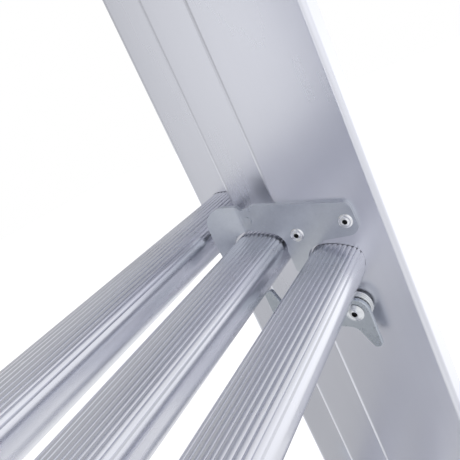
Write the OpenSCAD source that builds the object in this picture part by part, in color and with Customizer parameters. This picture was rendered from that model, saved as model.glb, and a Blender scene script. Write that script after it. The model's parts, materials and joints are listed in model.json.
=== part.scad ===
// Three-section sliding attic ladder. It hangs from two hatch brackets at the top,
// with the upper section in front, the middle one behind it and the lower one at the back.
// X runs along the rungs, -Y is the climbing side, and Z runs up along the stiles.

/* [Sections] */
// Clear width between the stiles of the upper section
clear_width = 320; // [260:5:420]
// Distance from one rung to the next
rung_pitch = 280; // [240:5:300]
// Rungs in the upper section
upper_rungs = 4; // [4:1:4]
// Rungs in the middle and in the lower section
wide_rungs = 5; // [5:1:5]
// Height of the upper section's lowest rung above the ladder's resting face
lowest_rung_up = 440; // [420:5:520]
// How far each section sits behind the one in front of it
nest_back = 41.5; // [41:0.5:48]
// How far each section's rungs sit above those in front of it
nest_up = 18.5; // [14:0.5:24]
// Gap between one stile and the wider stile beside it
nest_gap = 3.5; // [3.2:0.1:6]

/* [Stiles] */
// Depth of a stile from its front edge to its back edge
stile_deep = 60; // [56:1:72]
// Width of a stile across its two webs
stile_thick = 21; // [18:0.5:28]
// Wall of a stile
stile_wall = 1.5; // [1.2:0.1:2.5]
// Outer corner radius of a stile
stile_corner = 3.5; // [2:0.5:5]
// Distance from a rung's centre back to its stile's back edge
rung_to_back = 23; // [21:0.5:23]
// Length of upper stile above the hinge
upper_over_hinge = 28; // [20:1:30]
// Length of upper stile below its lowest rung
upper_tail = 160; // [120:5:180]
// Depth of the middle stile's top end below the hinge
middle_top_down = 50; // [45:1:60]
// Length of middle stile below its lowest rung
middle_tail = 118; // [90:1:130]
// Depth of the lower stile's top end below the hinge
lower_top_down = 90; // [86:1:110]

/* [Rungs] */
// Width of a rung from front to back
rung_w = 30; // [28:0.5:34]
// Height of the tread's crown above the rung's centre
crown_up = 13; // [11:0.5:14]
// Radius of the crowned tread
crown_r = 38; // [32:1:60]
// Radius between the tread and the rung's sides
shoulder_r = 8; // [5:0.5:9]
// Depth of the rounded underside
belly = 19; // [15:0.5:19]
// Distance from the middle of a rung forward of its nominal line
rung_forward = 1.4; // [0:0.1:2]
// Wall of a rung
rung_wall = 2; // [1.5:0.1:3]
// Tilt of the tread, so that it is level when the ladder leans
tread_tilt = 18.5; // [10:0.5:24]
// Gap between a rung and its hole in the stile
rung_fit = 0.15; // [0.1:0.05:0.3]
// Length of rung inside the stile
rung_grip = 6; // [4:0.5:10]

/* [Hooks and latches] */
// Thickness of a hook plate
hook_t = 3; // [2:0.5:4]
// Gap between a hook plate and the rungs beside it
hook_fit = 1.5; // [0.8:0.1:2]
// Angle by which a hook's back lobe leans towards the middle of the ladder
hook_flare = 27; // [10:1:30]
// Thickness of a latch lever
latch_t = 3; // [2:0.5:4]
// Gap between the stile's web and a latch lever
latch_standoff = 8; // [7:0.5:10]
// Diameter of the latch pins
latch_pin_d = 8; // [6:0.5:9]
// Diameter of the latch springs' wire
spring_wire = 1.6; // [1.2:0.1:2]

/* [Guides] */
// Thickness of the guide straps
guide_t = 2; // [1.5:0.1:2.2]
// Height of the guide straps
guide_h = 35; // [25:1:38]
// Gap between a guide strap and the stile that slides in it
guide_fit = 0.6; // [0.4:0.1:0.8]
// Length of a guide's inner lip
guide_lip = 10; // [6:1:11]

/* [Hatch hinge] */
// Distance from the mounting face to the hinge
hinge_out = 85; // [85:1:110]
// Diameter of the hinge bolts
bolt_d = 10; // [8:1:12]
// Thickness of the hatch brackets and hinge lugs
bracket_t = 4; // [3:0.5:6]
// Height of a hatch bracket's mounting plate
bracket_h = 90; // [80:1:120]
// Width of a hatch bracket's mounting plate
bracket_w = 46; // [40:1:60]
// Diameter of the screw holes in the mounting plate
screw_hole_d = 7; // [5:0.5:9]
// Distance between the two screw holes of a bracket
screw_pitch = 60; // [50:1:64]

/* [Fasteners and feet] */
// Diameter of a blind rivet's shank
rivet_d = 4.8; // [4:0.1:5]
// Diameter of a blind rivet's head
rivet_head_d = 8.5; // [7:0.5:9.5]
// Height of a blind rivet's head
rivet_head_h = 1.6; // [1:0.1:1.8]
// Radial gap between a pin or bolt and its hole
pin_fit = 0.05; // [0.02:0.01:0.09]
// Height of rubber foot that covers the stile
foot_cover = 40; // [30:1:60]
// Thickness of rubber under the stile
foot_sole = 26; // [15:1:35]
// Thickness of rubber around the stile
foot_wall = 2.5; // [2:0.5:2.5]
// Thickness of an end cap's visible rim
cap_rim = 2; // [1.5:0.5:4]

/* [Hidden] */

round_fn = 48;
touch = 0.01;
arc_steps = 6;

// Each section is numbered 0, 1, 2 from the upper one to the lower one
half_clear = [for (i = [0:2]) clear_width / 2 + i * (stile_thick + nest_gap)];
hinge_behind_rung = 37.5;
rung_y = [for (i = [0:2]) i * nest_back - hinge_out - hinge_behind_rung];
back_y = [for (y = rung_y) y + rung_to_back];
front_y = [for (y = back_y) y - stile_deep];
top_rung_down = 190;
rung_z = [for (i = [0:2]) i * nest_up - top_rung_down];
rung_count = [upper_rungs, wide_rungs, wide_rungs];
low_z = [for (i = [0:2]) rung_z[i] - (rung_count[i] - 1) * rung_pitch];
ground_z = low_z[0] - lowest_rung_up;
stile_top = [upper_over_hinge, -middle_top_down, -lower_top_down];
stile_bottom = [low_z[0] - upper_tail, low_z[1] - middle_tail, ground_z + foot_sole];

// Shared outline tools
function unit(v) = v / norm(v);
function arc(centre, r, from, to, steps) =
    [for (i = [0:steps])
        let (t = from + (to - from) * i / steps)
        centre + r * [cos(t), sin(t)]];
function fillet(a, b, c, r) =
    let (
        u = unit(a - b),
        v = unit(c - b),
        half = acos(u * v) / 2,
        centre = b + unit(u + v) * r / sin(half),
        p = b + u * r / tan(half) - centre,
        q = b + v * r / tan(half) - centre,
        start = atan2(p.y, p.x),
        turn = (atan2(q.y, q.x) - start + 540) % 360 - 180
    )
    arc(centre, r, start, start + turn, arc_steps);
function rounded(corners) =
    let (n = len(corners))
    [for (i = [0:n - 1])
        let (a = corners[(i + n - 1) % n], b = corners[i], c = corners[(i + 1) % n])
        each b.z > 0 ? fillet([a.x, a.y], [b.x, b.y], [c.x, c.y], b.z) : [[b.x, b.y]]];
function box_outline(w, d, r) =
    rounded([[w / 2, d / 2, r], [-w / 2, d / 2, r], [-w / 2, -d / 2, r], [w / 2, -d / 2, r]]);

// Outline of a rung: crowned tread, round shoulders and an oval underside, grown by g
rung_side_low = 1.5;
shoulder_steps = 5;
crown_steps = 8;
belly_step = 15;
crown_gap = 2;
function rung_outline(g) =
    let (
        half = rung_w / 2 + g,
        big = crown_r + g,
        small = shoulder_r + g,
        in = half - small,
        rise = sqrt((big - small) * (big - small) - in * in),
        crown_c = [0, crown_up + g - big],
        lean = atan2(rise, in)
    )
    concat(
        arc(crown_c + [in, rise], small, 0, lean, shoulder_steps),
        arc(crown_c, big, lean + crown_gap, 180 - crown_gap - lean, crown_steps),
        arc(crown_c + [-in, rise], small, 180 - lean, 180, shoulder_steps),
        [for (t = [180:belly_step:360]) [half * cos(t), rung_side_low + (belly + g) * sin(t)]]
    );
module rung_shape(g) translate([-rung_forward, 0]) rotate(tread_tilt) polygon(rung_outline(g));

// A flat sheet standing in the YZ plane, t thick towards +X
module sheet(t) rotate([90, 0, 90]) linear_extrude(t) children();
module rod_x(d, length) rotate([0, 90, 0]) cylinder(d = d, h = length, $fn = round_fn);
module both_sides() {
    children();
    mirror([1, 0, 0]) children();
}
module side(is_left) mirror([is_left ? 1 : 0, 0, 0]) children();

// ---- Stiles ----
inner_corner = stile_corner - stile_wall;
module stile(i) {
    length = stile_top[i] - stile_bottom[i];
    middle = [half_clear[i] + stile_thick / 2, (front_y[i] + back_y[i]) / 2, stile_bottom[i]];
    difference() {
        translate(middle) linear_extrude(length) difference() {
            polygon(box_outline(stile_thick, stile_deep, stile_corner));
            polygon(box_outline(stile_thick - 2 * stile_wall, stile_deep - 2 * stile_wall, inner_corner));
        }
        for (k = [0:rung_count[i] - 1])
            translate([half_clear[i] - touch, rung_y[i], rung_z[i] - k * rung_pitch])
                sheet(stile_wall + 2 * touch) rung_shape(rung_fit);
        if (i < 2) {
            for (p = hook_rivet_at)
                translate([half_clear[i] - touch, rung_y[i] + p.x, low_z[i] + p.y])
                    rod_x(rivet_hole_d, stile_wall + 2 * touch);
            translate([half_clear[i] - touch, rung_y[i] + latch_pivot.x, low_z[i] + latch_pivot.y])
                rod_x(pin_neck_d + 2 * pin_fit, stile_wall + 2 * touch);
        }
        if (i > 0) for (z = guide_rivet_z(i))
            translate([half_clear[i] + stile_thick - stile_wall - touch, guide_rivet_y(i), z])
                rod_x(rivet_hole_d, stile_wall + 2 * touch);
        if (i == 0) for (p = lug_rivet_at)
            translate([half_clear[0] + stile_thick - stile_wall - touch, p.x - hinge_out, p.y])
                rod_x(rivet_hole_d, stile_wall + 2 * touch);
    }
}
module stile_side(i, is_left) color("gainsboro") side(is_left) stile(i);

// ---- Rungs ----
module rung(i, k) color("silver")
    translate([-half_clear[i] - rung_grip, rung_y[i], rung_z[i] - (k - 1) * rung_pitch])
        sheet(2 * (half_clear[i] + rung_grip)) difference() {
            rung_shape(0);
            rung_shape(-rung_wall);
        }

// ---- Blind rivets ----
// A rivet stands with the underside of its head at the origin and its shank along +X
rivet_hole_d = rivet_d + 2 * pin_fit;
rivet_bulb_d = 6.4;
rivet_bulb_l = 3;
mandrel_hole_d = 2.6;
mandrel_hole_deep = 3.5;
dome_back = rivet_head_d * 0.55;
module rivet(grip) difference() {
    union() {
        intersection() {
            translate([-rivet_head_h, 0, 0]) rod_x(rivet_head_d, rivet_head_h);
            translate([dome_back, 0, 0]) sphere(r = dome_back + rivet_head_h, $fn = round_fn);
        }
        translate([-touch, 0, 0]) rod_x(rivet_d, grip + touch);
        translate([grip, 0, 0]) rod_x(rivet_bulb_d, rivet_bulb_l);
    }
    translate([-rivet_head_h - touch, 0, 0]) rod_x(mandrel_hole_d, mandrel_hole_deep);
}

// ---- Hook plates ----
// Outlines are in (Y, Z) from the centre of the rung that the plate is fixed above
hook_rivet_at = [[-16, 25.3], [14, 24.3]];
hook_bend_y = 43;
hook_bend_r = 5;
hook_outline = [
    [-21.3, 35.4, 5], [-22.3, 16.2, 6], [0.5, 17.4, 0], [16, 1.5, 1.5], [23.5, 1.5, 2], [23.5, 16, 0],
    [56, 16, 0], [56, 11, 0], [61, 11, 1.5], [62.4, 38, 40], [61.3, 57.3, 8], [44.3, 50.6, 1],
    [42, 47.4, 0.8], [38.5, 47.7, 0], [34.5, 48.7, 8]
];
hook_lobe_l = 30;
// Plan of the bent plate: straight along the web, then an arc, then straight again
hook_plan =
    let (
        centre = [-hook_t - hook_bend_r, hook_bend_y],
        along = hook_lobe_l * [-sin(hook_flare), cos(hook_flare)],
        outer = arc(centre, hook_bend_r + hook_t, 0, hook_flare, arc_steps),
        inner = arc(centre, hook_bend_r, hook_flare, 0, arc_steps)
    )
    concat([[-hook_t, -rung_w], [0, -rung_w]], outer, [outer[arc_steps] + along, inner[0] + along], inner);
dimple_at = [40.3, 40.4];
dimple_d = 5;
dimple_h = 0.8;
module hook(i) color("lightsteelblue") difference() {
    translate([half_clear[i], rung_y[i], low_z[i]]) {
        intersection() {
            translate([-hook_lobe_l, 0, 0]) sheet(2 * hook_lobe_l) polygon(rounded(hook_outline));
            linear_extrude(2 * hook_bend_y) polygon(hook_plan);
        }
        translate([-hook_t - dimple_h, dimple_at.x, dimple_at.y]) rod_x(dimple_d, dimple_h + touch);
    }
    for (j = [i, i + 1])
        translate([half_clear[i] - rung_w, rung_y[j], low_z[i] + (j - i) * nest_up])
            sheet(2 * rung_w) rung_shape(hook_fit);
    for (p = hook_rivet_at)
        translate([half_clear[i] - 2 * hook_t, rung_y[i] + p.x, low_z[i] + p.y])
            rod_x(rivet_hole_d, 3 * hook_t);
}
module hook_rivets(i) color("whitesmoke") both_sides() for (p = hook_rivet_at)
    translate([half_clear[i] - hook_t, rung_y[i] + p.x, low_z[i] + p.y]) rivet(hook_t + stile_wall);

// ---- Latch levers, pins and springs ----
latch_pivot = [-4.2, -26.3];
latch_play = 0.3;
pin_head_d = 10.6;
pin_head_h = 2;
pin_neck_d = 6;
pin_boss_d = 13.8;
latch_outline = [
    [-12.8, -18, 8.4], [-12.4, -50.2, 2.3], [-7.6, -50.2, 2.2], [-1.5, -35.7, 8], [12, -33, 6],
    [46.6, -31.5, 9], [46.4, -4.2, 2], [40.9, -3.2, 1.5], [36.4, -17.5, 5], [12, -18, 4]
];
module latch(i) color("darkseagreen")
    translate([half_clear[i] - latch_standoff - latch_t, rung_y[i], low_z[i]]) difference() {
        sheet(latch_t) polygon(rounded(latch_outline));
        translate([-touch, latch_pivot.x, latch_pivot.y])
            rod_x(latch_pin_d + 2 * pin_fit, latch_t + 2 * touch);
    }
pin_out = latch_standoff + latch_t + latch_play;
module latch_pin() difference() {
    union() {
        translate([-pin_out - pin_head_h, 0, 0]) rod_x(pin_head_d, pin_head_h);
        translate([-pin_out - touch, 0, 0]) rod_x(latch_pin_d, pin_out + touch);
        translate([latch_play - latch_standoff, 0, 0]) rod_x(pin_boss_d, latch_standoff - latch_play);
        translate([-touch, 0, 0]) rod_x(pin_neck_d, stile_wall + 2 * touch);
        translate([stile_wall, 0, 0]) rod_x(latch_pin_d, pin_head_h);
    }
    translate([-pin_out - pin_head_h - touch, 0, 0]) rod_x(mandrel_hole_d, mandrel_hole_deep);
}
module latch_pins(i) color("gray") both_sides()
    translate([half_clear[i], rung_y[i] + latch_pivot.x, low_z[i] + latch_pivot.y]) latch_pin();
spring_turns = 3;
spring_leg = 15;
spring_short_leg = 8;
spring_loose = 0.3;
spring_r = pin_boss_d / 2 + spring_wire / 2 + spring_loose;
spring_off_web = 2;
spring_pitch = spring_wire * 0.98;
wire_fn = 16;
module latch_spring() {
    for (n = [0:spring_turns - 1]) translate([-n * spring_pitch, 0, 0]) rotate([0, 90, 0])
        rotate_extrude($fn = round_fn) translate([spring_r, 0]) circle(d = spring_wire, $fn = wire_fn);
    translate([0, spring_r, 0]) mirror([0, 0, 1])
        cylinder(d = spring_wire, h = spring_short_leg, $fn = wire_fn);
    translate([-(spring_turns - 1) * spring_pitch, 0, -spring_r]) rotate([-90, 0, 0])
        cylinder(d = spring_wire, h = spring_leg, $fn = wire_fn);
}
module latch_springs(i) color("dimgray") both_sides()
    translate([half_clear[i] - spring_off_web, rung_y[i] + latch_pivot.x, low_z[i] + latch_pivot.y])
        latch_spring();

// ---- Guide straps that hold the narrower section's stiles ----
guide_below_top = 5;
guide_top = [for (top = stile_top) top - guide_below_top];
guide_tab = 38;
function guide_rivet_y(i) = front_y[i] + guide_tab / 2;
function guide_rivet_z(i) = [guide_top[i] - guide_h / 4, guide_top[i] - guide_h * 3 / 4];
module guide(i) {
    outer_x = half_clear[i] + stile_thick;
    face_y = front_y[i - 1] - guide_fit;
    inner_x = half_clear[i - 1] - guide_fit;
    lip_x = inner_x - guide_t;
    strap_y = face_y - guide_t;
    color("darkgray") translate([0, 0, guide_top[i] - guide_h]) difference() {
        linear_extrude(guide_h) {
            translate([outer_x, strap_y]) square([guide_t, front_y[i] + guide_tab - strap_y]);
            translate([lip_x, strap_y]) square([outer_x - lip_x + guide_t, guide_t]);
            translate([lip_x, strap_y]) square([guide_t, guide_lip + guide_t + guide_fit]);
        }
        for (z = guide_rivet_z(i)) translate([outer_x - touch, guide_rivet_y(i), z - guide_top[i] + guide_h])
            rod_x(rivet_hole_d, guide_t + 2 * touch);
    }
}
module guide_rivets(i) color("whitesmoke") both_sides() for (z = guide_rivet_z(i))
    translate([half_clear[i] + stile_thick + guide_t, guide_rivet_y(i), z])
        mirror([1, 0, 0]) rivet(guide_t + stile_wall);

// ---- End caps and rubber feet ----
cap_plug = 8;
cap_fit = 0.1;
cap_wall = 2.5;
cap_bore_corner = inner_corner - 0.5;
module cap_outline(inset, r) {
    less = 2 * (stile_wall + cap_fit + inset);
    polygon(box_outline(stile_thick - less, stile_deep - less, r));
}
module end_cap(i) {
    translate([half_clear[i] + stile_thick / 2, (front_y[i] + back_y[i]) / 2, 0]) {
        linear_extrude(cap_rim) polygon(box_outline(stile_thick, stile_deep, stile_corner));
        translate([0, 0, -cap_plug]) linear_extrude(cap_plug + touch) difference() {
            cap_outline(0, inner_corner);
            cap_outline(cap_wall, cap_bore_corner);
        }
    }
}
module end_caps(i, with_bottom) color("dimgray") both_sides() {
    translate([0, 0, stile_top[i]]) end_cap(i);
    if (with_bottom) translate([0, 0, stile_bottom[i]]) mirror([0, 0, 1]) end_cap(i);
}
foot_fit = 0.2;
foot_groove = 3;
foot_groove_pitch = 9;
foot_grooves = 6;
first_groove = -((foot_grooves - 1) * foot_groove_pitch + foot_groove) / 2;
module foot_outline(g, r) polygon(box_outline(stile_thick + 2 * g, stile_deep + 2 * g, r));
module foot() color("dimgray")
    translate([half_clear[2] + stile_thick / 2, (front_y[2] + back_y[2]) / 2, ground_z]) difference() {
        linear_extrude(foot_sole + foot_cover) foot_outline(foot_wall, stile_corner + foot_wall);
        translate([0, 0, foot_sole]) linear_extrude(foot_cover + touch) foot_outline(foot_fit, stile_corner);
        for (n = [0:foot_grooves - 1])
            translate([-stile_thick, first_groove + n * foot_groove_pitch, -touch])
                cube([2 * stile_thick, foot_groove, foot_groove]);
    }

// ---- Hatch hinge ----
lug_rivet_at = [[-32, 0], [-45, 15], [-45, -15]];
lug_r = 13;
lug_outline = [[-7, 10, 0], [-7, -10, 0], [-24, -24, 6], [-54, -24, 5], [-54, 24, 5], [-24, 24, 6]];
hinge_play = 0.5;
stile_out_x = half_clear[0] + stile_thick;
ear_x = stile_out_x + bracket_t + hinge_play;
module hinge_lug() color("lightsteelblue") translate([stile_out_x, -hinge_out, 0]) difference() {
    union() {
        sheet(bracket_t) polygon(rounded(lug_outline));
        rod_x(2 * lug_r, bracket_t);
    }
    translate([-touch, 0, 0]) rod_x(bolt_d + 2 * pin_fit, bracket_t + 2 * touch);
    for (p = lug_rivet_at) translate([-touch, p.x, p.y]) rod_x(rivet_hole_d, bracket_t + 2 * touch);
}
module hinge_lug_rivets() color("whitesmoke") both_sides() for (p = lug_rivet_at)
    translate([stile_out_x + bracket_t, p.x - hinge_out, p.y]) mirror([1, 0, 0])
        rivet(bracket_t + stile_wall);
ear_r = 16;
ear_inset = 8;
ear_root = bracket_h / 2 - ear_inset;
ear_deep = hinge_out - touch;
screw_from_edge = 20;
screw_x = ear_x + bracket_w - screw_from_edge;
module hatch_bracket() color("lightsteelblue") difference() {
    union() {
        translate([ear_x, -bracket_t, -bracket_h / 2]) cube([bracket_w, bracket_t, bracket_h]);
        translate([ear_x, -hinge_out, 0]) sheet(bracket_t) {
            circle(r = ear_r, $fn = round_fn);
            polygon([[0, ear_r], [0, -ear_r], [ear_deep, -ear_root], [ear_deep, ear_root]]);
        }
    }
    translate([ear_x - touch, -hinge_out, 0]) rod_x(bolt_d + 2 * pin_fit, bracket_t + 2 * touch);
    for (z = [-screw_pitch / 2, screw_pitch / 2]) translate([screw_x, touch, z]) rotate([90, 0, 0])
        cylinder(d = screw_hole_d, h = bracket_t + 2 * touch, $fn = round_fn);
}
washer_d = 20;
washer_t = 1.6;
nut_h = 8;
hex_across = 17;
hex_h = 6.4;
bolt_reach = 3;
module hex(h) rotate([0, 90, 0]) cylinder(d = hex_across / cos(30), h = h, $fn = 6);
module hinge_bolt() {
    head_x = ear_x + bracket_t + washer_t;
    end_x = stile_out_x - washer_t - hinge_play - nut_h - bolt_reach;
    translate([head_x, -hinge_out, 0]) hex(hex_h);
    translate([end_x, -hinge_out, 0]) rod_x(bolt_d, head_x - end_x + touch);
}
module hinge_bolts() color("silver") both_sides() hinge_bolt();
module washer() difference() {
    rod_x(washer_d, washer_t);
    translate([-touch, 0, 0]) rod_x(bolt_d + 2 * pin_fit, washer_t + 2 * touch);
}
module hinge_washers() color("silver") both_sides() {
    translate([ear_x + bracket_t, -hinge_out, 0]) washer();
    translate([stile_out_x - washer_t - hinge_play / 2, -hinge_out, 0]) washer();
}
module hinge_nuts() color("silver") both_sides()
    translate([stile_out_x - washer_t - hinge_play / 2 - nut_h, -hinge_out, 0]) difference() {
        hex(nut_h);
        translate([-touch, 0, 0]) rod_x(bolt_d + 2 * pin_fit, nut_h + 2 * touch);
    }

side(true) hatch_bracket();  // left_hatch_bracket
hatch_bracket();  // right_hatch_bracket
hinge_bolts();
hinge_nuts();
hinge_washers();
side(true) hinge_lug();  // left_hinge_lug
hinge_lug();  // right_hinge_lug
hinge_lug_rivets();
stile_side(0, true);  // upper_left_stile
stile_side(0, false);  // upper_right_stile
rung(0, 1);  // upper_rung_1
rung(0, 2);  // upper_rung_2
rung(0, 3);  // upper_rung_3
rung(0, 4);  // upper_rung_4
side(true) hook(0);  // upper_left_hook
hook(0);  // upper_right_hook
hook_rivets(0);  // upper_hook_rivets
side(true) latch(0);  // upper_left_latch
latch(0);  // upper_right_latch
latch_pins(0);  // upper_latch_pins
latch_springs(0);  // upper_latch_springs
end_caps(0, true);  // upper_end_caps
stile_side(1, true);  // middle_left_stile
stile_side(1, false);  // middle_right_stile
rung(1, 1);  // middle_rung_1
rung(1, 2);  // middle_rung_2
rung(1, 3);  // middle_rung_3
rung(1, 4);  // middle_rung_4
rung(1, 5);  // middle_rung_5
side(true) hook(1);  // middle_left_hook
hook(1);  // middle_right_hook
hook_rivets(1);  // middle_hook_rivets
side(true) latch(1);  // middle_left_latch
latch(1);  // middle_right_latch
latch_pins(1);  // middle_latch_pins
latch_springs(1);  // middle_latch_springs
end_caps(1, true);  // middle_end_caps
side(true) guide(1);  // middle_left_guide
guide(1);  // middle_right_guide
guide_rivets(1);  // middle_guide_rivets
stile_side(2, true);  // lower_left_stile
stile_side(2, false);  // lower_right_stile
rung(2, 1);  // lower_rung_1
rung(2, 2);  // lower_rung_2
rung(2, 3);  // lower_rung_3
rung(2, 4);  // lower_rung_4
rung(2, 5);  // lower_rung_5
side(true) guide(2);  // lower_left_guide
guide(2);  // lower_right_guide
guide_rivets(2);  // lower_guide_rivets
end_caps(2, false);  // lower_end_caps
side(true) foot();  // left_foot
foot();  // right_foot
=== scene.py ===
import json
import math

import bmesh
import bpy
from mathutils import Matrix, Vector


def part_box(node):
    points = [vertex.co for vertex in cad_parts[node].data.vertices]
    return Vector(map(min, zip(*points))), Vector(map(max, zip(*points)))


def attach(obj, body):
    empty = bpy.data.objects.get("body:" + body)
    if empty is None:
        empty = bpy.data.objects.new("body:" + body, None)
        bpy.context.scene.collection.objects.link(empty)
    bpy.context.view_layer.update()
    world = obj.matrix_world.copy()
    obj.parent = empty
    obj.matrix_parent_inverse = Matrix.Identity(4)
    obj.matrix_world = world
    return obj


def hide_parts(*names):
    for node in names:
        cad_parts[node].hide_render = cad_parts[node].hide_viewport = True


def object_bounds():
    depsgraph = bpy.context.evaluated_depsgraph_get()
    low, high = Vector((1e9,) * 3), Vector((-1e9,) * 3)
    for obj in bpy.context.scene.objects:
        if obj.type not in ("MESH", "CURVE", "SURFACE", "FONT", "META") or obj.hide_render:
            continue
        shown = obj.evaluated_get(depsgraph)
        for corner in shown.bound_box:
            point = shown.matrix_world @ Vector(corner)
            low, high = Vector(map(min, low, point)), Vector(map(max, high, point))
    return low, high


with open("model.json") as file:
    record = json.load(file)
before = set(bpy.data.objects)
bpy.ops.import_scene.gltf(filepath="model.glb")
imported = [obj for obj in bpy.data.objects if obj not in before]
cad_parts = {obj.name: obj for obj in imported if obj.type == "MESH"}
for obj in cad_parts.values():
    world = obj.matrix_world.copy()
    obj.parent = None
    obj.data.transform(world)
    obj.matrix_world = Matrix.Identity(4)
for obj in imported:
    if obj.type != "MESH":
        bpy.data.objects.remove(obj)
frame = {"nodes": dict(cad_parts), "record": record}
cad_low, cad_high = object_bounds()
MM = 0.001

# The viewpoint. It is close to the corner where the three sections cross,
# between the stiles, on the climber's side and a little above the upper
# section's lowest rung.
joints = {j["name"]: j for j in frame["record"]["behaviour"]["joints"]}
latch_from_rung = Vector((0, -4.2, -26.3)) * MM
eye_from_corner = Vector((-250, -116.25, 115)) * MM
corner = Vector(joints["upper_right_latch_pivot"]["pos_m"]) - latch_from_rung
corner.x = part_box("upper_right_hook")[1].x
eye = corner + eye_from_corner
eye_right = Vector((0.4264, -0.8042, -0.4141))
eye_up = Vector((0.4249, -0.2260, 0.8766))
eye_back = eye_right.cross(eye_up)
camera_data = bpy.data.cameras.new("camera")
camera_data.lens = 40.0
camera_data.sensor_width = 36.0
camera_data.shift_y = -0.0043
camera_data.clip_start = 0.01
camera = bpy.data.objects.new("camera", camera_data)
camera.matrix_world = Matrix((
    (eye_right.x, eye_up.x, eye_back.x, eye.x),
    (eye_right.y, eye_up.y, eye_back.y, eye.y),
    (eye_right.z, eye_up.z, eye_back.z, eye.z),
    (0, 0, 0, 1)))
bpy.context.scene.collection.objects.link(camera)
bpy.context.scene.camera = camera


# The stiles are closed aluminium box sections as they leave the extrusion die,
# with soft corners, faint drawing lines along their length, and a hole punched
# for each rung.
def shader(name, slots):
    """A material with one Principled surface, its node tree and that surface."""
    material = bpy.data.materials.new(name)
    material.use_nodes = True
    surface = material.node_tree.nodes["Principled BSDF"]
    for socket, value in slots.items():
        surface.inputs[socket].default_value = value
    return material, material.node_tree, surface


def add(tree, kind, inputs=None, **settings):
    """Adds a node; an input is either a value or another node's output."""
    node = tree.nodes.new(kind)
    for key, value in settings.items():
        setattr(node, key, value)
    for key, value in (inputs or {}).items():
        if isinstance(value, bpy.types.NodeSocket):
            tree.links.new(value, node.inputs[key])
        else:
            node.inputs[key].default_value = value
    return node


def noise(tree, per_metre, detail=4.0, roughness=0.6):
    """Noise on the object's own coordinates, with so many waves per metre along X, Y and Z."""
    place = add(tree, "ShaderNodeTexCoord")
    squeeze = add(tree, "ShaderNodeMapping", {"Vector": place.outputs["Object"], "Scale": per_metre})
    return add(tree, "ShaderNodeTexNoise", {
        "Vector": squeeze.outputs["Vector"], "Scale": 1.0, "Detail": detail, "Roughness": roughness,
    }).outputs["Fac"]


def spread(tree, value, low, high):
    """Stretches a noise, which stays near 0.5, over low to high."""
    return add(tree, "ShaderNodeMapRange", {
        "Value": value, "From Min": 0.3, "From Max": 0.7, "To Min": low, "To Max": high,
    }).outputs["Result"]


def blend(tree, factor, a, b):
    return add(tree, "ShaderNodeMix", {"Factor": factor, "A": a, "B": b}, data_type="FLOAT").outputs["Result"]


def metal(name, dark, bright, smooth, rough, lines_per_m, clouds_per_m=(18, 18, 18), cloud_share=0.5,
          relief=0.1, relief_mm=0.03):
    """A bare or plated metal: drawing lines and soft clouds vary its colour and its roughness."""
    material, tree, surface = shader(name, {"Metallic": 1.0})
    lines = noise(tree, lines_per_m)
    clouds = noise(tree, clouds_per_m, 3.0)
    tone = blend(tree, cloud_share, lines, clouds)
    ramp = add(tree, "ShaderNodeValToRGB", {"Fac": tone})
    ramp.color_ramp.elements[0].position = 0.35
    ramp.color_ramp.elements[1].position = 0.65
    ramp.color_ramp.elements[0].color = (*dark, 1)
    ramp.color_ramp.elements[1].color = (*bright, 1)
    tree.links.new(ramp.outputs["Color"], surface.inputs["Base Color"])
    tree.links.new(spread(tree, tone, smooth, rough), surface.inputs["Roughness"])
    bump = add(tree, "ShaderNodeBump", {"Height": lines, "Strength": relief, "Distance": relief_mm * MM})
    tree.links.new(bump.outputs["Normal"], surface.inputs["Normal"])
    return material


def settle(name, bm, materials, body, nodes, smooth_deg=35):
    """Makes a piece of a bmesh, gives it its finish, and fixes it to its body in place of its plain nodes."""
    mesh = bpy.data.meshes.new(name)
    bm.to_mesh(mesh)
    bm.free()
    for material in materials:
        mesh.materials.append(material)
    mesh.polygons.foreach_set("use_smooth", [True] * len(mesh.polygons))
    mesh.set_sharp_from_angle(angle=math.radians(smooth_deg))
    piece = bpy.data.objects.new(name, mesh)
    bpy.context.scene.collection.objects.link(piece)
    even = piece.modifiers.new("even_normals", "WEIGHTED_NORMAL")
    even.keep_sharp = True
    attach(piece, body)
    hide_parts(*nodes)
    return piece


def eased_copy(node, edge_mm, segments=2, sharp_deg=40):
    """The node's own shape with its loose triangles joined and its sharp edges rounded over."""
    bm = bmesh.new()
    bm.from_mesh(frame["nodes"][node].data)
    bmesh.ops.remove_doubles(bm, verts=bm.verts, dist=0.002 * MM)
    bmesh.ops.dissolve_limit(bm, angle_limit=math.radians(0.5), verts=bm.verts, edges=bm.edges)
    sharp = [e for e in bm.edges if len(e.link_faces) == 2 and e.calc_face_angle(0) > math.radians(sharp_deg)]
    bmesh.ops.bevel(bm, geom=sharp, offset=edge_mm * MM, segments=segments, profile=0.5,
                    affect="EDGES", clamp_overlap=True, material=-1)
    return bm


sections = ("upper", "middle", "lower")
sides = ("left", "right")
stile_metal = metal("mill_aluminium_stile", (0.71, 0.72, 0.78), (0.75, 0.76, 0.82), 0.25, 0.31,
                    (250, 250, 2), clouds_per_m=(12, 12, 5), cloud_share=0.85, relief=0)
for section in sections:
    for side in sides:
        node = f"{section}_{side}_stile"
        settle(node + "_drawn", eased_copy(node, 0.3), [stile_metal], f"{section}_section",
               [node])

# The rungs are extruded aluminium tubes with a crowned, fluted tread, round
# shoulders and an oval underside. They pass through the stiles' inner webs and
# are pressed tight there.
rung_half = 15.0
crown_top = 13.0
crown_radius = 38.0
shoulder_radius = 8.0
belly_depth = 19.0
belly_top = 1.5
tread_tilt = math.radians(18.5)
flute_pitch = 2.75
flute_depth = 0.5
flute_count = 10
flute_points = 12
land_flatness = 0.3


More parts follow.
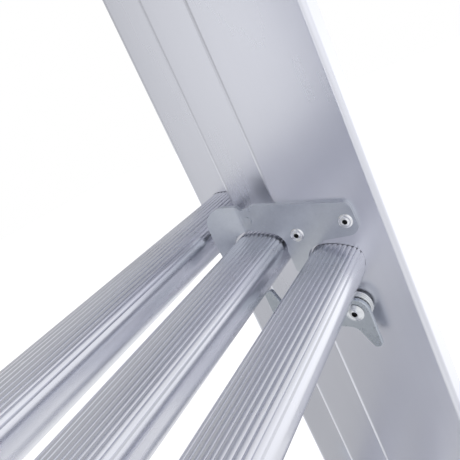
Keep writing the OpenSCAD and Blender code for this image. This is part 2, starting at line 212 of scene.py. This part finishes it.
def rung_outline():
    """The rung's section in mm from its centre, as (Y, Z) points."""
    inset = rung_half - shoulder_radius
    rise = math.sqrt((crown_radius - shoulder_radius) ** 2 - inset ** 2)
    crown_turn = math.atan2(inset, rise)
    crown_length = crown_radius * crown_turn
    top_length = crown_length + shoulder_radius * (math.pi / 2 - crown_turn)

    def on_top(along):
        """A point of the tread, and its outward direction, so far along from the crown's middle."""
        if abs(along) <= crown_length:
            turn = along / crown_radius
            out = Vector((math.sin(turn), math.cos(turn)))
            return Vector((0, crown_top - crown_radius)) + out * crown_radius, out
        turn = crown_turn + (abs(along) - crown_length) / shoulder_radius
        side = math.copysign(1, along)
        out = Vector((side * math.sin(turn), math.cos(turn)))
        return Vector((side * inset, crown_top - crown_radius + rise)) + out * shoulder_radius, out

    fluted = flute_count * flute_pitch / 2
    plain_steps, belly_steps = 7, 36
    plain = [top_length - (top_length - fluted) * i / plain_steps for i in range(plain_steps)]
    points = [on_top(along)[0] for along in plain]
    steps = flute_count * flute_points
    for i in range(steps + 1):
        along = fluted - 2 * fluted * i / steps
        spot, out = on_top(along)
        wave = abs(math.sin(math.pi * (along + fluted) / flute_pitch))
        points.append(spot - out * flute_depth * (1 - wave ** land_flatness))
    points += [on_top(-along)[0] for along in reversed(plain)]
    for i in range(1, belly_steps):
        turn = math.pi + math.pi * i / belly_steps
        points.append(Vector((rung_half * math.cos(turn), belly_top + belly_depth * math.sin(turn))))
    return [Matrix.Rotation(tread_tilt, 2) @ p for p in points]


rung_metal = metal("mill_aluminium_rung", (0.71, 0.72, 0.78), (0.75, 0.76, 0.82), 0.24, 0.30,
                   (2, 300, 300), clouds_per_m=(10, 20, 20), cloud_share=0.85, relief=0.0)
outline = rung_outline()
outline_low = min(p.y for p in outline)
outline_back = max(p.x for p in outline)
rung_nodes = sorted(n for n in frame["nodes"] if "_rung_" in n)
for node in rung_nodes:
    low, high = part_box(node)
    bm = bmesh.new()
    ring = [bm.verts.new((low.x, high.y + (p.x - outline_back) * MM, low.z + (p.y - outline_low) * MM))
            for p in outline]
    grown = bmesh.ops.extrude_face_region(bm, geom=[bm.faces.new(ring)])
    far_end = [v for v in grown["geom"] if isinstance(v, bmesh.types.BMVert)]
    bmesh.ops.translate(bm, verts=far_end, vec=(high.x - low.x, 0, 0))
    bmesh.ops.recalc_face_normals(bm, faces=bm.faces)
    settle(node + "_fluted", bm, [rung_metal], node.split("_")[0] + "_section", [node])

# The hook plates are pressed from zinc-plated steel sheet, with one lobe bent
# in and a small proof dimple by the bend. Two blind rivets hold each of them.
def lathe(profile, centre, segments=32, inward=1):
    """A turned piece on an axis along X through centre; profile is (mm along the axis, mm of radius)."""
    bm = bmesh.new()
    line = [bm.verts.new((centre.x + inward * along * MM, centre.y, centre.z + radius * MM))
            for along, radius in profile]
    edges = [bm.edges.new(pair) for pair in zip(line, line[1:])]
    bmesh.ops.spin(bm, geom=line + edges, cent=centre, axis=(1, 0, 0), angle=2 * math.pi,
                   steps=segments, use_merge=True)
    bmesh.ops.remove_doubles(bm, verts=bm.verts, dist=0.001 * MM)
    bmesh.ops.recalc_face_normals(bm, faces=bm.faces)
    return bm


def join(bms):
    """Gathers several bmeshes into one."""
    whole = bmesh.new()
    for bm in bms:
        part = bpy.data.meshes.new("part")
        bm.to_mesh(part)
        bm.free()
        whole.from_mesh(part)
        bpy.data.meshes.remove(part)
    return whole


hook_metal = metal("zinc_plate_hook", (0.54, 0.57, 0.62), (0.62, 0.65, 0.70), 0.26, 0.36, (600, 600, 600),
                   clouds_per_m=(60, 60, 60), cloud_share=0.7, relief=0.05)
for section in sections[:2]:
    for side in sides:
        node = f"{section}_{side}_hook"
        settle(node + "_pressed", eased_copy(node, 0.45, 3), [hook_metal], f"{section}_section",
               [node])

# Blind rivets of bright aluminium: a low domed head round the snapped end of a steel mandrel, the shank, and
# the bulb that the mandrel pulls up behind. The mandrel's end, down in the head's hole, is coloured near
# black as painted shade of the hole.
rivet_head = 1.6
shank_radius = 2.35
bulb_radius = 3.1
bulb_length = 3
bulb_full_from = 2.6
bulb_full_to = 0.6
tail_radius = 1.6
# How far from the axis and how deep the painted shade at the bottom of the rivet head's hole reaches.
hole_shade_radius = 1.0
hole_shade_depth = 1.0
rivet_profile = [(0.8, 0), (0.8, 1.25), (-1.25, 1.3), (-1.5, 1.45), (-rivet_head, 1.7), (-1.5, 1.95),
                 (-1.2, 2.2), (-1.05, 2.6), (-1.05, 3.0), (-1.0, 3.4), (-0.8, 3.8), (-0.5, 4.1), (-0.2, 4.24),
                 (0, 4.2), (0, shank_radius)]
rivet_metal = metal("bright_rivet", (0.70, 0.71, 0.74), (0.84, 0.85, 0.88), 0.16, 0.26, (500, 500, 500))
# A near-black, slightly metallic material: painted shade for the bottom of each rivet head's hole, on the
# snapped mandrel's end, and for the hole in each latch pin's head.
painted_shade_metal, painted_shade_tree, painted_shade_surface = shader("painted_hole_shade", {"Metallic": 0.6, "Roughness": 0.6})
painted_shade_tone = add(painted_shade_tree, "ShaderNodeValToRGB", {"Fac": noise(painted_shade_tree, (2500, 2500, 2500))})
painted_shade_tone.color_ramp.elements[0].color = (0.004, 0.004, 0.005, 1)
painted_shade_tone.color_ramp.elements[1].color = (0.03, 0.03, 0.032, 1)
painted_shade_tree.links.new(painted_shade_tone.outputs["Color"], painted_shade_surface.inputs["Base Color"])
rivet_groups = (("hinge_lug_rivets", "upper_section", 1), ("upper_hook_rivets", "upper_section", -1),
                ("middle_hook_rivets", "middle_section", -1), ("middle_guide_rivets", "middle_section", 1),
                ("lower_guide_rivets", "lower_section", 1))


def solids_of(node):
    """Lowest and highest corner of each separate solid in a node."""
    bm = bmesh.new()
    bm.from_mesh(frame["nodes"][node].data)
    bmesh.ops.remove_doubles(bm, verts=bm.verts, dist=0.002 * MM)
    left, boxes = set(bm.verts), []
    while left:
        group, edge = set(), [left.pop()]
        while edge:
            vert = edge.pop()
            group.add(vert)
            for link in vert.link_edges:
                other = link.other_vert(vert)
                if other in left:
                    left.remove(other)
                    edge.append(other)
        spots = [v.co for v in group]
        boxes.append((Vector([min(p[i] for p in spots) for i in range(3)]),
                      Vector([max(p[i] for p in spots) for i in range(3)])))
    bm.free()
    return sorted(boxes, key=lambda b: tuple(b[0]))


def paint_hole_shade(bm, centre, inward, radius, along_to):
    """Gives a turned piece's faces within radius of its axis, up to along_to on it, the second material: the
    near-black painted shade in its hole.
    """
    for face in bm.faces:
        middle = face.calc_center_median()
        off_axis = math.hypot(middle.y - centre.y, middle.z - centre.z)
        along = (middle.x - centre.x) * inward
        face.material_index = 1 if off_axis < radius * MM and along < along_to * MM else 0


for node, body, head_outside in rivet_groups:
    made = []
    for low, high in solids_of(node):
        side = math.copysign(1, low.x)
        inward = -side * head_outside
        length = (high.x - low.x) / MM - rivet_head
        if head_outside > 0:
            head_x = side * (max(abs(low.x), abs(high.x)) - rivet_head * MM)
        else:
            head_x = side * (min(abs(low.x), abs(high.x)) + rivet_head * MM)
        shank = [(length - bulb_length, shank_radius), (length - bulb_full_from, bulb_radius),
                 (length - bulb_full_to, bulb_radius), (length, tail_radius), (length, 0)]
        centre = Vector((head_x, (low.y + high.y) / 2, (low.z + high.z) / 2))
        bm = lathe(rivet_profile + shank, centre, inward=inward)
        # The mandrel's end at the bottom of the head's hole gets the near-black painted shade.
        paint_hole_shade(bm, centre, inward, hole_shade_radius, hole_shade_depth)
        made.append(bm)
    settle(node + "_turned", join(made), [rivet_metal, painted_shade_metal], body, [node])

# The latch levers are stamped from plated sheet. Each turns on a headed pin
# with a wide boss against the stile, and a wire torsion spring round the boss
# keeps the lever's finger up behind the next section's rung.
latch_metal = metal("zinc_plate_latch", (0.45, 0.49, 0.54), (0.55, 0.59, 0.64), 0.22, 0.32, (600, 600, 600),
                    clouds_per_m=(70, 70, 70), cloud_share=0.7, relief=0.05)
pin_metal = metal("bright_pin", (0.62, 0.64, 0.67), (0.74, 0.76, 0.79), 0.14, 0.24, (500, 500, 500))
wire_metal = metal("spring_wire", (0.50, 0.52, 0.54), (0.66, 0.68, 0.70), 0.18, 0.28, (900, 900, 900))
web_x = {"upper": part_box("upper_right_hook")[1].x, "middle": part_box("middle_right_hook")[1].x}
pin_neck_radius = 4.0
pin_boss_radius = 6.9
pin_shank_radius = 3.0
# The next two lines bound the pin head's hole, which is coloured near black as painted shade.
pin_hole_shade_radius = 1.62
pin_hole_shade_to = -11
pin_profile = [(-11.8, 0), (-11.8, 1.55), (-13.1, 1.6), (-13.28, 1.8), (-13.25, 2.2), (-13.0, 2.8),
               (-12.6, 3.6), (-12.1, 4.3), (-11.75, 4.7), (-11.6, 5.1), (-11.45, 5.28), (-11.3, 5.2),
               (-11.3, pin_neck_radius), (-7.8, pin_neck_radius), (-7.8, 6.6), (-7.6, pin_boss_radius),
               (0, pin_boss_radius), (0, pin_shank_radius), (1.5, pin_shank_radius), (1.5, 4.0), (3.2, 4.0),
               (3.5, 3.6), (3.5, 0)]
spring_turns = 2.75
turn_steps = 28
wire_d = 1.6
wire_sides = 10
coil_radius = 8.0
coil_start = 2.0
coil_pitch = 1.62
long_leg = 14
short_leg = 7


def spring_coil(centre, inward):
    """A wound wire: a round section spun along X, with a straight leg drawn from each end."""
    bm = bmesh.new()
    hub = centre + Vector((inward * coil_start * MM, 0, 0))
    start = Matrix.Translation(hub + Vector((0, coil_radius * MM, 0)))
    wire = bmesh.ops.create_circle(bm, segments=wire_sides, radius=wire_d / 2 * MM, matrix=start)["verts"]
    ring = bm.edges[:]
    steps = int(turn_steps * spring_turns)
    turned = 2 * math.pi * steps / turn_steps
    drift = Vector((inward * coil_pitch / turn_steps * MM, 0, 0))
    wound = bmesh.ops.spin(bm, geom=wire + ring, cent=hub, axis=(1, 0, 0), angle=turned, dvec=drift,
                           steps=steps)
    last = [g for g in wound["geom_last"] if isinstance(g, bmesh.types.BMEdge)]
    for edges, step in ((ring, Vector((0, 0, -short_leg))), (last, Vector((0, long_leg, 0)))):
        drawn = bmesh.ops.extrude_edge_only(bm, edges=edges)["geom"]
        bmesh.ops.translate(bm, verts=[g for g in drawn if isinstance(g, bmesh.types.BMVert)], vec=step * MM)
        bmesh.ops.contextual_create(bm, geom=[g for g in drawn if isinstance(g, bmesh.types.BMEdge)
                                              and len(g.link_faces) == 1])
    bmesh.ops.recalc_face_normals(bm, faces=bm.faces)
    return bm


for section in sections[:2]:
    for side in sides:
        node = f"{section}_{side}_latch"
        settle(node + "_stamped", eased_copy(node, 0.5, 3), [latch_metal], node, [node])
    pins, springs = [], []
    for side, sign in (("left", -1), ("right", 1)):
        pivot = Vector(joints[f"{section}_{side}_latch_pivot"]["pos_m"])
        centre = Vector((sign * web_x[section], pivot.y, pivot.z))
        pin = lathe(pin_profile, centre, inward=sign)
        # The hole in the pin's head gets the near-black painted shade.
        paint_hole_shade(pin, centre, sign, pin_hole_shade_radius, pin_hole_shade_to)
        pins.append(pin)
        springs.append(spring_coil(centre, -sign))
    settle(f"{section}_latch_pins_turned", join(pins), [pin_metal, painted_shade_metal], f"{section}_section",
           [f"{section}_latch_pins"])
    settle(f"{section}_latch_springs_wound", join(springs), [wire_metal], f"{section}_section",
           [f"{section}_latch_springs"], smooth_deg=60)

# The guide straps are bent from plated strip and riveted to the outside of the
# wider stiles. Their lips keep the narrower section's stiles in line.
bracket_metal = metal("zinc_plate_bracket", (0.56, 0.58, 0.62), (0.66, 0.68, 0.72), 0.28, 0.38,
                      (500, 500, 500), clouds_per_m=(40, 40, 40), cloud_share=0.7, relief=0.05)
for section in sections[1:]:
    for side in sides:
        node = f"{section}_{side}_guide"
        settle(node + "_bent", eased_copy(node, 0.6, 3), [bracket_metal], f"{section}_section",
               [node])

# The hatch hinge: lugs riveted to the upper stiles turn on plated bolts in the
# two screwed hatch brackets.
for side in sides:
    settle(f"{side}_hinge_lug_stamped", eased_copy(f"{side}_hinge_lug", 0.5, 3), [bracket_metal],
           "upper_section", [f"{side}_hinge_lug"])
    settle(f"{side}_hatch_bracket_pressed", eased_copy(f"{side}_hatch_bracket", 0.6, 3), [bracket_metal],
           "hatch_mount", [f"{side}_hatch_bracket"])
bolt_metal = metal("zinc_plate_bolt", (0.60, 0.61, 0.63), (0.74, 0.75, 0.77), 0.18, 0.30,
                   (400, 400, 400))
for node in ("hinge_bolts", "hinge_nuts", "hinge_washers"):
    settle(node + "_eased", eased_copy(node, 0.35, 2), [bolt_metal], "hatch_mount", [node])

# The end caps are moulded in black plastic. A rim covers each open stile end,
# and the plug below it is pushed into the stile and holds by its own grip.
def moulded(name, tone, roughness, grain_per_m, grain_mm):
    """A moulded plastic or rubber: a fine grain and longer scuffs vary its tone and its roughness."""
    material, tree, surface = shader(name, {"Specular IOR Level": 0.4})
    grain = noise(tree, (grain_per_m,) * 3, 6.0)
    scuffs = noise(tree, (90, 90, 30), 5.0)
    ramp = add(tree, "ShaderNodeValToRGB", {"Fac": blend(tree, 0.5, grain, scuffs)})
    ramp.color_ramp.elements[0].position = 0.35
    ramp.color_ramp.elements[1].position = 0.7
    ramp.color_ramp.elements[0].color = (tone * 0.7, tone * 0.7, tone * 0.75, 1)
    ramp.color_ramp.elements[1].color = (tone * 1.6, tone * 1.6, tone * 1.65, 1)
    tree.links.new(ramp.outputs["Color"], surface.inputs["Base Color"])
    tree.links.new(spread(tree, scuffs, roughness - 0.08, roughness + 0.08), surface.inputs["Roughness"])
    bump = add(tree, "ShaderNodeBump", {"Height": grain, "Strength": 0.35, "Distance": grain_mm * MM})
    tree.links.new(bump.outputs["Normal"], surface.inputs["Normal"])
    return material


cap_plastic = moulded("cap_plastic", 0.03, 0.5, 1500, 0.08)
for section in sections:
    node = f"{section}_end_caps"
    settle(node + "_moulded", eased_copy(node, 0.6, 3), [cap_plastic], f"{section}_section",
           [node])

# The feet are shoes of ribbed black rubber, each moulded in one piece. They
# are pushed over the lower ends of the lower section's stiles.
foot_rubber = moulded("foot_rubber", 0.025, 0.75, 900, 0.15)
for side in sides:
    node = f"{side}_foot"
    settle(node + "_moulded", eased_copy(node, 0.9, 3), [foot_rubber], "lower_section", [node])

# The floor is plain and pale, level with the feet, and the room round it is a
# pale glow with wide soft areas of more light. There are no lamps.
floor_half = 6.0
bm = bmesh.new()
bmesh.ops.create_grid(bm, x_segments=1, y_segments=1, size=floor_half,
                      matrix=Matrix.Translation((0, 0, cad_low.z)))
floor_mesh = bpy.data.meshes.new("floor")
bm.to_mesh(floor_mesh)
bm.free()
floor = bpy.data.objects.new("floor", floor_mesh)
floor_paint, tree, floor_surface = shader("floor_paint", {"Roughness": 0.8, "Emission Strength": 0.55})
floor_tone = add(tree, "ShaderNodeValToRGB", {"Fac": noise(tree, (3, 3, 3), 3.0)})
floor_tone.color_ramp.elements[0].color = (0.86, 0.86, 0.87, 1)
floor_tone.color_ramp.elements[1].color = (0.90, 0.90, 0.91, 1)
tree.links.new(floor_tone.outputs["Color"], floor_surface.inputs["Base Color"])
tree.links.new(floor_tone.outputs["Color"], floor_surface.inputs["Emission Color"])
floor_mesh.materials.append(floor_paint)
bpy.context.scene.collection.objects.link(floor)
floor.visible_glossy = False

world = bpy.data.worlds.new("room")
world.use_nodes = True
tree = world.node_tree
walls = tree.nodes["Background"]
direction = add(tree, "ShaderNodeTexCoord")
# Each soft area has its turn from +X, its rise and its half width in degrees, and its added power.
softboxes = ((300, -30, 110, 0.40), (200, 10, 55, 0.32), (0, -10, 55, 0.38), (320, 55, 35, 0.20),
             (80, -30, 55, 0.43), (170, 2, 36, 0.46), (200, -50, 35, 0.25), (260, 30, 55, 0.37),
             (322, -14, 40, 0.18))
glow = 0.56
for turn, rise, half_width, power in softboxes:
    turn, rise = math.radians(turn), math.radians(rise)
    towards = (math.cos(rise) * math.cos(turn), math.cos(rise) * math.sin(turn), math.sin(rise))
    near = add(tree, "ShaderNodeVectorMath", {
        0: direction.outputs["Generated"], 1: towards,
    }, operation="DOT_PRODUCT")
    soft = add(tree, "ShaderNodeMapRange", {
        "Value": near.outputs["Value"], "From Min": math.cos(math.radians(half_width)), "To Max": power,
    }, interpolation_type="SMOOTHSTEP")
    glow = add(tree, "ShaderNodeMath", {
        0: glow, 1: soft.outputs["Result"],
    }, operation="ADD").outputs["Value"]
walls.inputs["Color"].default_value = (0.985, 0.99, 1.0, 1)
tree.links.new(glow, walls.inputs["Strength"])
backdrop = add(tree, "ShaderNodeBackground", {"Color": (1, 1, 1, 1), "Strength": 1.0})
seen = add(tree, "ShaderNodeLightPath")
choose = add(tree, "ShaderNodeMixShader", {
    0: seen.outputs["Is Camera Ray"], 1: walls.outputs["Background"], 2: backdrop.outputs["Background"],
})
tree.links.new(choose.outputs["Shader"], tree.nodes["World Output"].inputs["Surface"])
bpy.context.scene.world = world
bpy.context.scene.view_settings.view_transform = "Standard"
